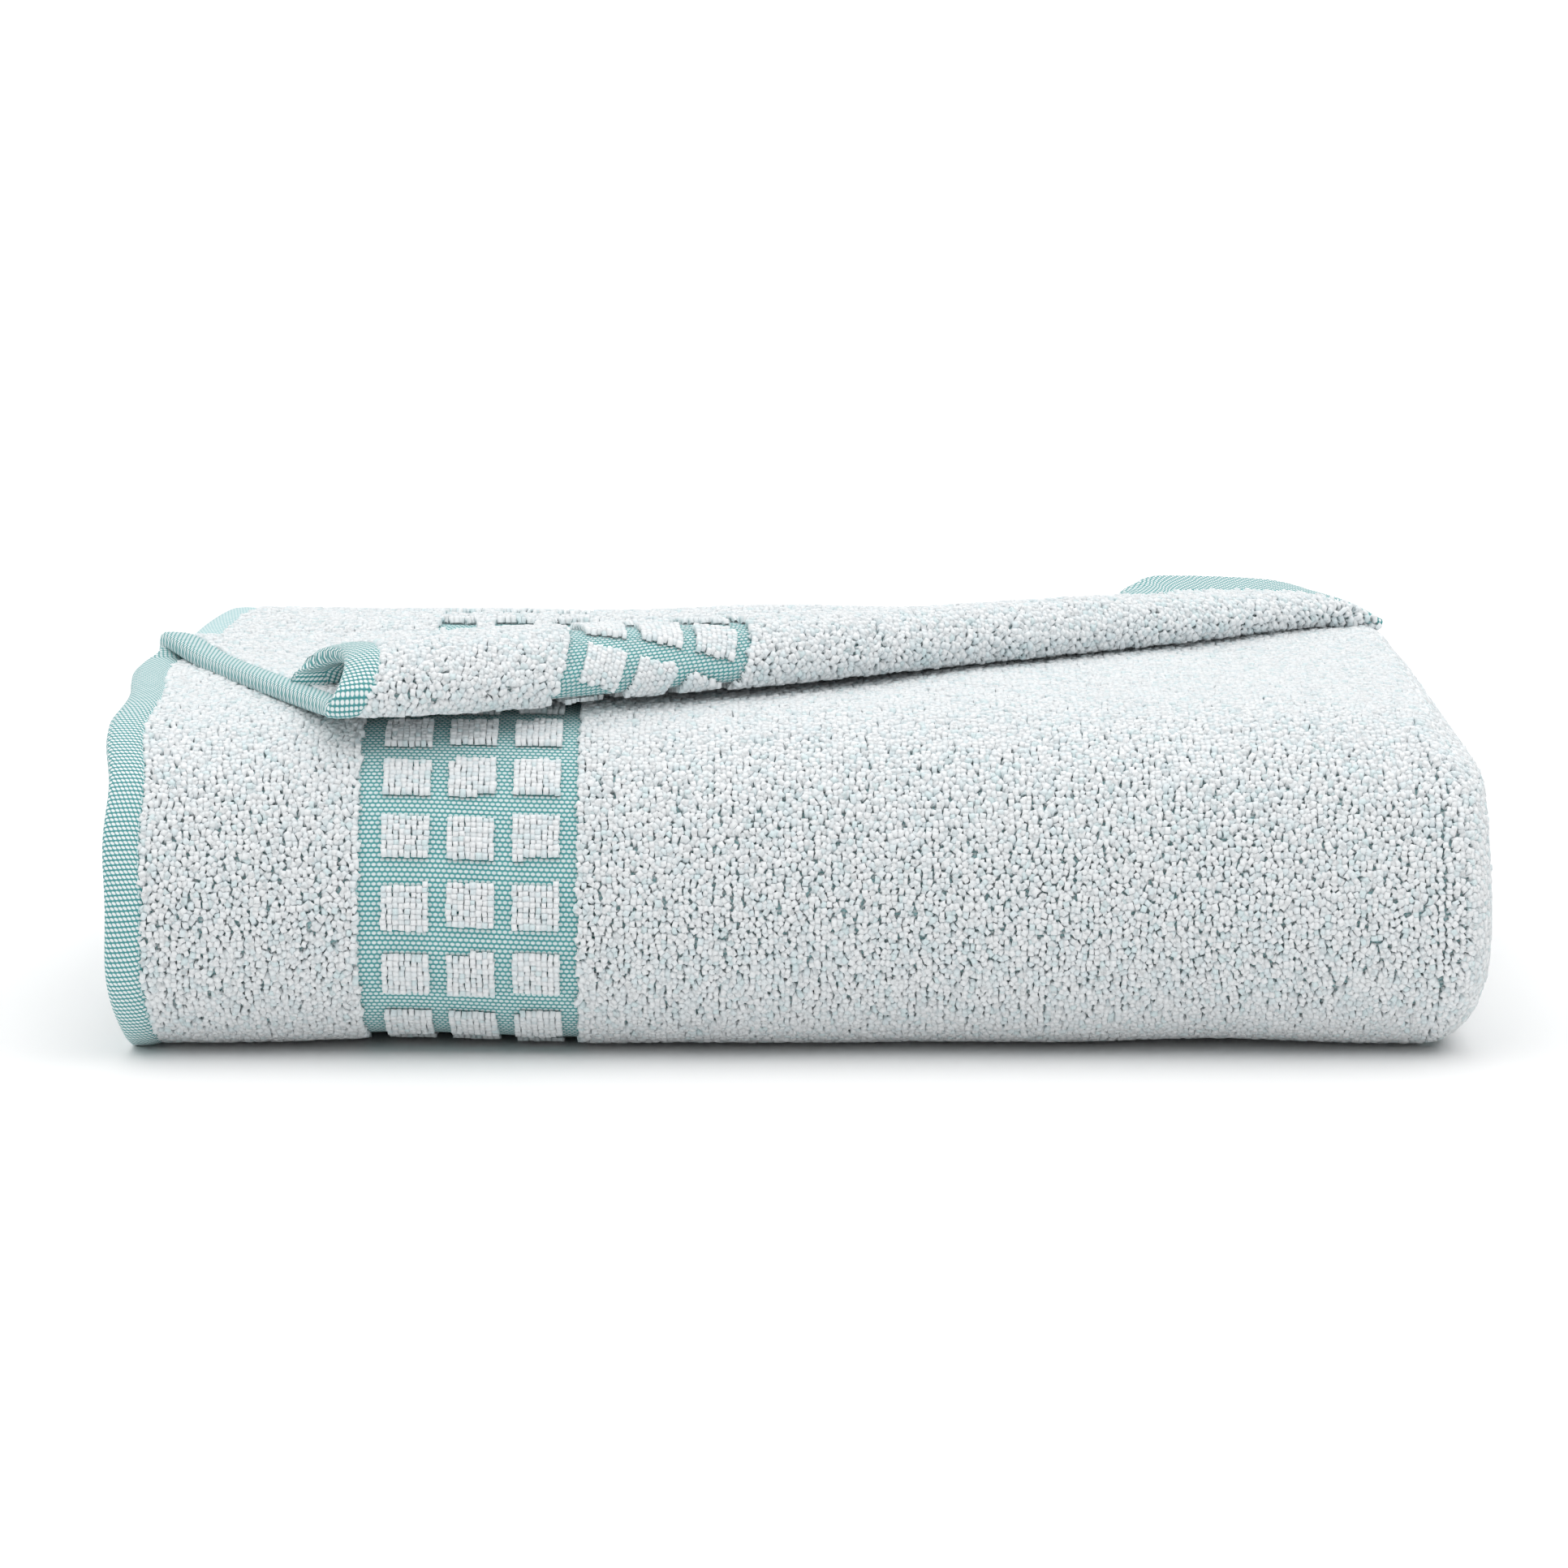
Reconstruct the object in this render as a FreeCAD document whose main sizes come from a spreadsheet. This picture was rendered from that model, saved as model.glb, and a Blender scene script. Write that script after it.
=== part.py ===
import FreeCAD, Part
import Sketcher
import math
import os
import re

# A terry bath towel, 700 mm by 1400 mm, folded for a shelf.
#
# Its length is folded in quarters: four plies, one on the other. Ply 1 and ply 2 end at the
# left in the two end hems, plies 3 and 4 turn into each other there, and at the right ply 1
# turns into ply 4 round the turn of ply 2 into ply 3. The four plies are then folded across
# in thirds: a bottom panel, a fold along the front, a top panel, a fold along the back and a
# middle panel whose free edges are tucked inside. The middle panel of ply 1 has been pulled
# out and turned back over the top, where it lies as a low slanting roll: the flap.
#
# Millimetres. +X runs along the folded width to the right, +Y to the back, +Z up. The origin
# is the middle of the underside.

doc = FreeCAD.newDocument("BathTowel")

# ---------------------------------------------------------------- driving dimensions
SIZES = [
    ("folded_width", 350, "a quarter of the cloth's length"),
    ("folded_depth", 230, "a third of the cloth's width, and the bulge of the front fold"),
    ("ply", 7.5, "height that one layer of terry takes up in the pile"),
    ("end_hem", 9.5, "width of the turned hem at each end of the cloth"),
    ("end_strip", 54.5, "terry between the end hem and the border"),
    ("border", 55, "width of the woven border"),
    ("side_hem", 12, "width of the turned hem along each side of the cloth"),
    ("turn_inset", 4, "how far the turn of plies 3 and 4 lies behind the end hems"),
    ("edge_step", 3, "how far each free edge at the back lies inside the one below"),
    ("crease_left", 137, "front of the pile to the flap's crease, at the left"),
    ("crease_right", 205, "front of the pile to the flap's crease, at the right"),
    ("underlay", 5.5, "height of the flap's lower layer, under the roll"),
    ("flap_inset", 49, "left side of the pile to the flap's end hem"),
    ("flap_end_gap", 17, "right end of the roll to the right side of the pile"),
    ("roll_front_left", 27, "front of the pile to the roll, at its end hem"),
    ("roll_front_bend", 70, "front of the pile to the roll, where its border ends"),
    ("roll_front_right", 193, "front of the pile to the roll, at its right end"),
    ("roll_back_left", 72, "front of the pile to the roll's free edge, at its end hem"),
    ("roll_back_right", 214, "front of the pile to the roll's free edge, at its right end"),
    ("roll_height_left", 17.6, "height of the roll over the underlay, left of its bend"),
    ("roll_height_right", 10, "height of the roll over the underlay, at its right end"),
    ("lip", 9, "how far the roll's front overhangs the underlay"),
    ("thread", 0.9, "width of a stitch of sewing thread"),
    ("stitch", 2.6, "length of a stitch"),
    ("stitch_pitch", 3.6, "from one stitch to the next"),
    ("stitch_margin", 1.5, "hem's sewn edge to its row of stitches"),
]
sheet = doc.addObject("Spreadsheet::Sheet", "Sizes")
for row, (alias, value, note) in enumerate(SIZES, start=1):
    sheet.set(f"A{row}", alias.replace("_", " "))
    sheet.set(f"B{row}", str(value))
    sheet.set(f"C{row}", note)
    sheet.setAlias(f"B{row}", alias)
doc.recompute()

ALIASES = re.compile(r"\b(" + "|".join(alias for alias, _, _ in SIZES) + r")\b")


def bind(thing, prop, text):
    """Ties a property to the sheet. The text names the sheet's values by their aliases."""
    thing.setExpression(prop, ALIASES.sub(r"Sizes.\1", f"1 * ({text})"))


def size(alias):
    return float(sheet.get(alias))


# ---------------------------------------------------------------- places, as text
LEFT = "(-folded_width / 2)"
RIGHT = "(folded_width / 2)"
FRONT = "(-folded_depth / 2)"
BACK = "(folded_depth / 2)"

PLIES = 4
CORE = 3  # plies in the middle panel: ply 1 has been pulled out of it
LEVELS = PLIES + CORE + PLIES
PILE_TOP = f"({LEVELS} * ply)"
FOLD_RADIUS = f"({LEVELS} / 2 * ply)"
FOLD_Y = f"({FRONT} + {FOLD_RADIUS})"  # axis of the front fold
BACK_Y = f"({BACK} - {CORE} * ply)"  # axis of the back fold
BACK_Z = f"({PLIES + CORE} * ply)"

HEM_X = f"({LEFT} + end_hem)"
STRIP_X = f"({HEM_X} + end_strip)"
BORDER_X = f"({STRIP_X} + border)"
TURN_X = f"({RIGHT} - 2 * ply)"  # the plies end here, and the turns at the right begin
INNER_X = f"({LEFT} + turn_inset + ply)"  # plies 3 and 4 begin here

FLAP_Z = f"({PILE_TOP} + underlay)"
FLAP_X = f"({LEFT} + flap_inset)"
FLAP_HEM_X = f"({FLAP_X} + end_hem)"
FLAP_STRIP_X = f"({FLAP_HEM_X} + end_strip)"
FLAP_BORDER_X = f"({FLAP_STRIP_X} + border)"
FLAP_END_X = f"({RIGHT} - flap_end_gap)"


def between(x, x0, y0, x1, y1):
    """The height at x of the straight line through two points, all as text."""
    return f"({y0} + ({y1} - {y0}) * ({x} - {x0}) / ({x1} - {x0}))"


def crease_y(x):
    return between(x, LEFT, f"({FRONT} + crease_left)", RIGHT, f"({FRONT} + crease_right)")


def roll_left(x, at_left, at_bend):
    return between(x, FLAP_X, at_left, FLAP_BORDER_X, at_bend)


# ---------------------------------------------------------------- simple shapes
def placed(thing, x, y, z, rotation=None):
    """Sets where a shape lies: its base tied to the sheet, and its fixed turn."""
    if rotation is not None:
        thing.Placement = FreeCAD.Placement(FreeCAD.Vector(), rotation)
    for axis, text in (("x", x), ("y", y), ("z", z)):
        bind(thing, f"Placement.Base.{axis}", text)
    return thing


def slab(x0, x1, y0, y1, z0, z1):
    box = doc.addObject("Part::Box", "Slab")
    bind(box, "Length", f"({x1}) - ({x0})")
    bind(box, "Width", f"({y1}) - ({y0})")
    bind(box, "Height", f"({z1}) - ({z0})")
    return placed(box, x0, y0, z0)


# Turns that lay a shape's own Z along +X, and its sweep over the front or the back half.
OVER_BACK = FreeCAD.Rotation(FreeCAD.Vector(0, 1, 0), 90)
OVER_FRONT = FreeCAD.Rotation(FreeCAD.Vector(1, 0, 0), 180) * OVER_BACK
# Turns that lay a half cylinder's own Z along +Y, and its sweep over the right or the left.
ALONG_Y_RIGHT = FreeCAD.Rotation(FreeCAD.Vector(1, 0, 0), -90)
ALONG_Y_RIGHT = ALONG_Y_RIGHT * FreeCAD.Rotation(FreeCAD.Vector(0, 0, 1), -90)
ALONG_Y_LEFT = FreeCAD.Rotation(FreeCAD.Vector(1, 0, 0), -90)
ALONG_Y_LEFT = ALONG_Y_LEFT * FreeCAD.Rotation(FreeCAD.Vector(0, 0, 1), 90)


def half_round(radius, length, x, y, z, rotation):
    rod = doc.addObject("Part::Cylinder", "HalfRound")
    bind(rod, "Radius", radius)
    bind(rod, "Height", length)
    rod.Angle = 180
    return placed(rod, x, y, z, rotation)


def cut(base, tool):
    result = doc.addObject("Part::Cut", "Cut")
    result.Base = base
    result.Tool = tool
    return result


def common(a, b):
    result = doc.addObject("Part::MultiCommon", "Common")
    result.Shapes = [a, b]
    return result


def fuse(shapes):
    result = doc.addObject("Part::MultiFuse", "Fuse")
    result.Shapes = shapes
    result.Refine = True
    return result


def ring(inner, outer, length, x, y, z, rotation):
    """Half a tube, or half a rod where the inner radius is None."""
    solid = half_round(outer, length, x, y, z, rotation)
    if inner is None:
        return solid
    return cut(solid, half_round(inner, length, x, y, z, rotation))


def bend(inner, outer, radius, x, y, z, rotation, sign):
    """The half of a curved tube, about an axis along X, that faces +X (sign 1) or -X."""
    parts = []
    for minor in (outer, inner):
        if minor is None:
            continue
        torus = doc.addObject("Part::Torus", "Bend")
        bind(torus, "Radius1", radius)
        bind(torus, "Radius2", minor)
        torus.Angle3 = 180
        parts.append(placed(torus, x, y, z, rotation))
    solid = parts[0] if len(parts) == 1 else cut(*parts)
    x0, x1 = (x, f"{x} + {outer}") if sign > 0 else (f"{x} - {outer}", x)
    reach = f"({radius} + {outer})"
    return common(solid, slab(x0, x1, f"{y} - {reach}", f"{y} + {reach}", f"{z} - {reach}",
                              f"{z} + {reach}"))


def outline(lines, x, y, z, rotation=None):
    """A sketch with one closed outline of straight lines through points tied to the sheet.

    The sketch's own origin is x, y, z, and its points all lie to the right of and above it.
    """
    sketch = doc.addObject("Sketcher::SketchObject", "Outline")
    count = len(lines)
    rough = [FreeCAD.Vector(10 + 10 * math.cos(2 * math.pi * i / count),
                            10 + 10 * math.sin(2 * math.pi * i / count), 0)
             for i in range(count)]
    for i in range(count):
        sketch.addGeometry(Part.LineSegment(rough[i], rough[(i + 1) % count]), False)
    for i in range(count):
        sketch.addConstraint(Sketcher.Constraint("Coincident", i, 2, (i + 1) % count, 1))
    for i, (across, up) in enumerate(lines):
        for kind, text in (("DistanceX", across), ("DistanceY", up)):
            sketch.addConstraint(Sketcher.Constraint(kind, -1, 1, i, 1, 10.0 + i))
            number = sketch.ConstraintCount - 1
            bind(sketch, f"Constraints[{number}]", text)
    return placed(sketch, x, y, z, rotation)


def prism(points, z, height):
    """A flat piece of the given height, its outline given as x, y in the part's frame."""
    corner_x, corner_y = "(-folded_width)", "(-folded_depth)"
    lines = [(f"({x}) - {corner_x}", f"({y}) - {corner_y}") for x, y in points]
    solid = doc.addObject("Part::Extrusion", "Prism")
    solid.Base = outline(lines, corner_x, corner_y, z)
    solid.DirMode = "Custom"
    solid.Dir = FreeCAD.Vector(0, 0, 1)
    solid.Solid = True
    bind(solid, "LengthFwd", height)
    return solid


# Turns that stand a sketch in the plane of Y and Z.
UPRIGHT = FreeCAD.Rotation(FreeCAD.Vector(1, 1, 1), 120)


def roll_section(x, front, back, height):
    """The roll's outline at x: upright at the back, with a blunt nose at the front."""
    corner_y = "(-folded_depth)"
    nose = f"({height} / 3)"
    top = f"({FLAP_Z} + {height})"
    points = [
        (f"{front} + {nose}", FLAP_Z),
        (back, FLAP_Z),
        (back, f"{FLAP_Z} + {height} * 2 / 3"),
        (f"{back} - {nose}", top),
        (f"{front} + {nose}", top),
        (front, f"{FLAP_Z} + {height} * 2 / 3"),
        (front, f"{FLAP_Z} + {height} / 3"),
    ]
    lines = [(f"({y}) - {corner_y}", z) for y, z in points]
    return outline(lines, x, corner_y, "0", UPRIGHT)


def roll(sections):
    """The roll from one section to the next, as one solid with straight sides."""
    solid = doc.addObject("Part::Loft", "Roll")
    solid.Sections = [roll_section(*section) for section in sections]
    solid.Solid = True
    solid.Ruled = True
    return solid


# ---------------------------------------------------------------- the plies
def panels(n, x0, x1):
    """Ply n (1 is the outermost) between x0 and x1: its panels and folds, one strip of cloth."""
    length = f"{x1} - {x0}"
    low, high = f"({n - 1} * ply)", f"({LEVELS - n} * ply)"
    outer, inner = f"({FOLD_RADIUS} - {n - 1} * ply)", f"({FOLD_RADIUS} - {n} * ply)"
    free = f"({BACK} - {n - 1} * edge_step - side_hem)"
    strips = [
        slab(x0, x1, FOLD_Y, free, low, f"{n} * ply"),
        ring(inner, outer, length, x0, FOLD_Y, FOLD_RADIUS, OVER_FRONT),
    ]
    if n == 1:
        crease = prism([(x0, FOLD_Y), (x1, FOLD_Y), (x1, crease_y(x1)), (x0, crease_y(x0))],
                       high, "ply")
        return strips + [crease]
    around = f"({PLIES + 1 - n} * ply)"
    inside = None if n == PLIES else f"({PLIES - n} * ply)"
    tucked = f"({BACK_Z} - {around})"
    return strips + [
        slab(x0, x1, FOLD_Y, BACK_Y, high, f"{high} + ply"),
        ring(inside, around, length, x0, BACK_Y, BACK_Z, OVER_BACK),
        slab(x0, x1, f"{FOLD_Y} + side_hem", BACK_Y, tucked, f"{tucked} + ply"),
    ]


pieces = []


def piece(name, solid):
    solid.Label = name
    pieces.append(solid)


for n, which in ((1, "outer_ply"), (2, "second_ply")):
    piece(f"{which}_end_hem", fuse(panels(n, LEFT, HEM_X)))
    piece(f"{which}_end_strip", fuse(panels(n, HEM_X, STRIP_X)))
    piece(f"{which}_border", fuse(panels(n, STRIP_X, BORDER_X)))
    piece(f"{which}_field", fuse(panels(n, BORDER_X, TURN_X)))
piece("third_ply", fuse(panels(3, INNER_X, TURN_X)))
piece("fourth_ply", fuse(panels(4, INNER_X, TURN_X)))


# ---------------------------------------------------------------- the turns at each end
def end_turn(inner, outer, levels, x, rotation, sign):
    """The turn that joins two plies, along the bottom and top panels and round the front fold.

    levels is how many plies lie outside the middle of the turn.
    """
    start = f"({BACK} - {PLIES - 1} * edge_step - side_hem)"
    low, high = f"({levels} * ply)", f"({LEVELS - levels} * ply)"
    front_radius = f"({FOLD_RADIUS} - {levels} * ply)"
    return [
        ring(inner, outer, f"{start} - {FOLD_Y}", x, FOLD_Y, low, rotation),
        ring(inner, outer, f"{BACK_Y} - {FOLD_Y}", x, FOLD_Y, high, rotation),
        bend(inner, outer, front_radius, x, FOLD_Y, FOLD_RADIUS, OVER_FRONT, sign),
    ]


def tucked_turn(levels, x, rotation):
    """The same turn along the tucked middle panel, which ends short of its side hems."""
    middle = f"({BACK_Z} - {PLIES - levels} * ply)"
    return ring(None, "ply", f"{BACK_Y} - {FOLD_Y} - side_hem", x, f"({FOLD_Y} + side_hem)",
                middle, rotation)


back_turn = bend(None, "ply", "(2 * ply)", TURN_X, BACK_Y, BACK_Z, OVER_BACK, 1)
inner_turn = end_turn(None, "ply", 2, TURN_X, ALONG_Y_RIGHT, 1)
inner_turn += [tucked_turn(2, TURN_X, ALONG_Y_RIGHT), back_turn]
piece("right_inner_turn", fuse(inner_turn))
piece("right_outer_turn", fuse(end_turn("ply", "(2 * ply)", 2, TURN_X, ALONG_Y_RIGHT, 1)))
piece("left_turn", fuse(end_turn(None, "ply", 3, INNER_X, ALONG_Y_LEFT, -1)))
piece("left_turn_tucked", tucked_turn(3, INNER_X, ALONG_Y_LEFT))

# ---------------------------------------------------------------- the side hems
for n in range(1, PLIES + 1):
    hem_back = f"({BACK} - {n - 1} * edge_step)"
    hem_left = LEFT if n < 3 else INNER_X
    piece(f"side_hem_under_{n}", slab(hem_left, TURN_X, f"{hem_back} - side_hem", hem_back,
                                      f"{n - 1} * ply", f"{n} * ply"))
    if n == 1:
        continue
    tucked = f"({BACK_Z} - {PLIES + 1 - n} * ply)"
    piece(f"side_hem_tucked_{n}", slab(hem_left, TURN_X, FOLD_Y, f"{FOLD_Y} + side_hem",
                                       tucked, f"{tucked} + ply"))

# ---------------------------------------------------------------- the flap
ROLL_FRONT_LEFT = f"({FRONT} + roll_front_left)"
ROLL_FRONT_BEND = f"({FRONT} + roll_front_bend)"
ROLL_FRONT_RIGHT = f"({FRONT} + roll_front_right)"
ROLL_BACK_LEFT = f"({FRONT} + roll_back_left)"
ROLL_BACK_RIGHT = f"({FRONT} + roll_back_right)"


def roll_front(x):
    return roll_left(x, ROLL_FRONT_LEFT, ROLL_FRONT_BEND)


def roll_back(x):
    return between(x, FLAP_X, ROLL_BACK_LEFT, FLAP_END_X, ROLL_BACK_RIGHT)


# The flap's lower layer comes forward from the crease. Its end hem slants from the crease, at
# the left side of the pile, to the roll's end hem.
peak = (LEFT, crease_y(LEFT))
nose_left = (FLAP_X, f"{ROLL_FRONT_LEFT} + lip")
nose_bend = (FLAP_BORDER_X, f"{ROLL_FRONT_BEND} + lip")
nose_right = (FLAP_END_X, f"{ROLL_FRONT_RIGHT} + lip")
crease_end = (FLAP_END_X, crease_y(FLAP_END_X))
hem_peak = (f"({LEFT} + end_hem)", crease_y(f"({LEFT} + end_hem)"))
hem_nose = (f"({FLAP_X} + end_hem)", roll_left(f"({FLAP_X} + end_hem)", f"{ROLL_FRONT_LEFT} + lip",
                                               f"{ROLL_FRONT_BEND} + lip"))
piece("flap_under_hem", prism([peak, nose_left, hem_nose, hem_peak], PILE_TOP, "underlay"))
piece("flap_under_field", prism([hem_peak, hem_nose, nose_bend, nose_right, crease_end],
                                PILE_TOP, "underlay"))

end_section = (FLAP_END_X, ROLL_FRONT_RIGHT, ROLL_BACK_RIGHT, "roll_height_right")


def left_section(x):
    return (x, roll_front(x), roll_back(x), "roll_height_left")


whole_flap = [
    ("flap_end_hem", [left_section(FLAP_X), left_section(FLAP_HEM_X)]),
    ("flap_end_strip", [left_section(FLAP_HEM_X), left_section(FLAP_STRIP_X)]),
    ("flap_border", [left_section(FLAP_STRIP_X), left_section(FLAP_BORDER_X)]),
    ("flap_field", [left_section(FLAP_BORDER_X), end_section]),
]


def hem_plan(x0, x1):
    """The plan of the free edge's hem: a strip side_hem wide along the back of the roll."""
    edge = "(roll_height_left / 3)"
    return [(x0, f"{roll_back(x0)} - side_hem"), (x1, f"{roll_back(x1)} - side_hem"),
            (x1, f"{roll_back(x1)} + {edge}"), (x0, f"{roll_back(x0)} + {edge}")]


hem_space = (FLAP_Z, "2 * roll_height_left")
for name, sections in whole_flap:
    piece(name, cut(roll(sections), prism(hem_plan(FLAP_X, FLAP_END_X), *hem_space)))
hem_parts = [roll(sections) for _, sections in whole_flap]
piece("flap_side_hem", common(fuse(hem_parts), prism(hem_plan(FLAP_X, FLAP_END_X), *hem_space)))


# ---------------------------------------------------------------- the sewing
def stitch_row(name, start, way, length, normal):
    """A row of stitches on a flat run, as a group of short bars that lie on the cloth."""
    way = way.normalize()
    thread, pitch = size("thread"), size("stitch_pitch")
    side = normal.cross(way)
    bars = []
    for i in range(int(length / pitch)):
        bar = Part.makeBox(size("stitch"), thread, thread / 2)
        turn = FreeCAD.Rotation(way, side, normal)
        bar.Placement = FreeCAD.Placement(start + way * (i * pitch) - side * (thread / 2), turn)
        bars.append(bar)
    row = doc.addObject("Part::Feature", name)
    row.Shape = Part.makeCompound(bars)
    row.Label = name
    pieces.append(row)


def value(text):
    """The number that a place's text stands for, worked out from the sheet."""
    return float(sheet.evalExpression(ALIASES.sub(r"Sizes.\1", f"1 * ({text})")))


UP = FreeCAD.Vector(0, 0, 1)
pile_top, margin = value(PILE_TOP), size("stitch_margin")
row_x = value(HEM_X) - margin
front_run = FreeCAD.Vector(row_x, value(FOLD_Y), pile_top)
to_back = FreeCAD.Vector(0, 1, 0)
stitch_row("outer_hem_stitches", front_run, to_back,
           value(crease_y(LEFT)) - margin - front_run.y - size("end_hem"), UP)
far_start = FreeCAD.Vector(row_x, value(crease_y(HEM_X)) + margin, pile_top - size("ply"))
stitch_row("second_hem_stitches", far_start, to_back, value(BACK_Y) - far_start.y, UP)
roll_top = value(FLAP_Z) + size("roll_height_left")
roll_x = value(FLAP_HEM_X) - margin
roll_start = FreeCAD.Vector(roll_x, value(roll_front(FLAP_HEM_X)) + size("roll_height_left") / 3,
                            roll_top)
roll_length = value(roll_back(FLAP_X)) - size("side_hem") - roll_start.y
stitch_row("flap_end_hem_stitches", roll_start, to_back, roll_length, UP)
hem_start = FreeCAD.Vector(value(FLAP_X), value(roll_back(FLAP_X)) - size("side_hem") + margin,
                           roll_top)
hem_bend = FreeCAD.Vector(value(FLAP_BORDER_X),
                          value(roll_back(FLAP_BORDER_X)) - size("side_hem") + margin, roll_top)
stitch_row("flap_side_hem_stitches", hem_start, hem_bend - hem_start,
           (hem_bend - hem_start).Length, UP)

# ---------------------------------------------------------------- check and write
doc.recompute()
for thing in doc.Objects:
    if "Invalid" in thing.State or "Error" in thing.State:
        raise SystemExit(f"{thing.Label} did not rebuild: {thing.State}")
for solid in pieces:
    if solid.Shape.isNull() or not solid.Shape.isValid() or not solid.Shape.Solids:
        raise SystemExit(f"{solid.Label} has no sound shape")

os.makedirs("parts", exist_ok=True)
for solid in pieces:
    solid.Shape.exportStep(f"parts/{solid.Label}.step")
    box = solid.Shape.BoundBox
    print(f"{solid.Label:24s} {len(solid.Shape.Solids):3d} solids  {solid.Shape.Volume:10.0f} mm3  "
          f"z {box.ZMin:6.1f} to {box.ZMax:6.1f}")
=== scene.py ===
# %% [markdown]
# # A folded bath towel
# A bath towel is woven flat: a teal ground weave, white loops standing on both
# faces, a band of squares near each end, and a hem all round. This one is folded
# in quarters along its length and in thirds across it, with the top third turned
# forward and rolled. The model is one sheet of cloth that follows those folds,
# with hems, stitches and loops made on it.
#
# It could be a cloth simulation, or a block with a terry pattern. Tight folds four
# plies deep are known shapes, so given curves hold them where they lie, and real
# loops give the soft broken edge that a pattern on a block never has.

import math

import bpy
import numpy as np
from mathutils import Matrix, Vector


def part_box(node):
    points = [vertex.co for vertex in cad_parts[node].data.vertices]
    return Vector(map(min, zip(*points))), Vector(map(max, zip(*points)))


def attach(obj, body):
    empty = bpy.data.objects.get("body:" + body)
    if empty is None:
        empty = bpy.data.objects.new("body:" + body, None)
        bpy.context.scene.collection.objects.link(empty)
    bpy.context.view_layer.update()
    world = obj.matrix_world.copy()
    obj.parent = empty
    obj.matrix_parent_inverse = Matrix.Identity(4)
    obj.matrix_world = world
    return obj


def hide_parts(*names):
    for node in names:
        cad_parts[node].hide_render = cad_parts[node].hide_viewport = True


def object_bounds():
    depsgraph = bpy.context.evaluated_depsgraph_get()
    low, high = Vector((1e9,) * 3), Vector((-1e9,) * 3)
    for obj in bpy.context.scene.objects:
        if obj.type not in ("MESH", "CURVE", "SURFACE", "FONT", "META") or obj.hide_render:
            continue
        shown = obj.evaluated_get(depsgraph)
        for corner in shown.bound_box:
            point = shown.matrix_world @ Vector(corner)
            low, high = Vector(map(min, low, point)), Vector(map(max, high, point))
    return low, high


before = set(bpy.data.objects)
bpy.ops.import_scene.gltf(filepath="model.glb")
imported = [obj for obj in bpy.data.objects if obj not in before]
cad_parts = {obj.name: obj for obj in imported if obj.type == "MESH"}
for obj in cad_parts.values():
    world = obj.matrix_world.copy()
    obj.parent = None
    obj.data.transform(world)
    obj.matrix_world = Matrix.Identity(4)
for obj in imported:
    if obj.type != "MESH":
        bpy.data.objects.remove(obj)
cad_box = [list(corner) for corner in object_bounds()]
MM = 0.001
print("frame nodes:", len(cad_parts), "box:", np.round(cad_box, 4).tolist())

# %% [markdown]
# ## Sizes
# Everything is worked out in millimetres from the frame and turned into metres
# when a mesh is made. The hem, the strip beside it and the band of squares keep
# the widths that the frame gives them, so a change there is followed here. The
# cloth's own thickness is set here, as ground cloth and as loops on both faces.


# %% Sizes from the frame
def across(node, axis=0):
    """A node's lowest and highest place along one axis, in millimetres."""
    low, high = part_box(node)
    return low[axis] / MM, high[axis] / MM


LEFT, RIGHT = cad_box[0][0] / MM, cad_box[1][0] / MM
HEM = across("outer_ply_end_hem")[1] - LEFT
BORDER_START = across("outer_ply_border")[0] - LEFT
BORDER_WIDTH = np.ptp(across("outer_ply_border"))
SIDE_HEM = np.ptp(across("side_hem_under_1", 1))
PLY = 7.2  # from one ply's ground cloth to the next
PILE = 2.4  # how far loops stand out
TOP = 83.7  # height of the top ply's ground cloth
TURN = RIGHT + 1.2 - PILE - 1.5 * PLY  # where the plies turn round at the right
print("hem", HEM, "border", BORDER_START, BORDER_WIDTH, "side hem", SIDE_HEM)

# %% [markdown]
# ## Smooth curves
# A folded edge has no corners, so each section is a few given points joined
# by a smooth curve. The curve's pace follows the square root of each step, which
# keeps it from looping where points stand close together.


# %% Curve helpers
def smooth(points, steps=14):
    """Curves through points (lines, points, axes), with steps samples to a span."""
    gap = np.linalg.norm(np.diff(points, axis=1), axis=2) ** 0.5 + 1e-6
    slope = np.diff(points, axis=1) / gap[..., None]
    inner = (
        slope[:, :-1] * gap[:, 1:, None] + slope[:, 1:] * gap[:, :-1, None]
    ) / (gap[:, :-1] + gap[:, 1:])[..., None]
    pace = np.concatenate([slope[:, :1], inner, slope[:, -1:]], axis=1)
    t = (np.arange(steps) / steps)[None, None, :, None]
    a, b, h = points[:, :-1, None], points[:, 1:, None], gap[..., None, None]
    ma, mb = pace[:, :-1, None] * h, pace[:, 1:, None] * h
    body = (
        (2 * t**3 - 3 * t**2 + 1) * a
        + (t**3 - 2 * t**2 + t) * ma
        + (3 * t**2 - 2 * t**3) * b
        + (t**3 - t**2) * mb
    )
    flat = body.reshape(len(points), -1, points.shape[2])
    return np.concatenate([flat, points[:, -1:]], axis=1)


def lengths(lines):
    """Distance along each line, from its first point."""
    steps = np.linalg.norm(np.diff(lines, axis=1), axis=2)
    return np.concatenate([np.zeros((len(lines), 1)), np.cumsum(steps, axis=1)], axis=1)


def on_line(line, measure, at):
    """Where a line is when its measure reaches at."""
    return np.stack([np.interp(at, measure, line[:, k]) for k in range(3)], axis=-1)


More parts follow.
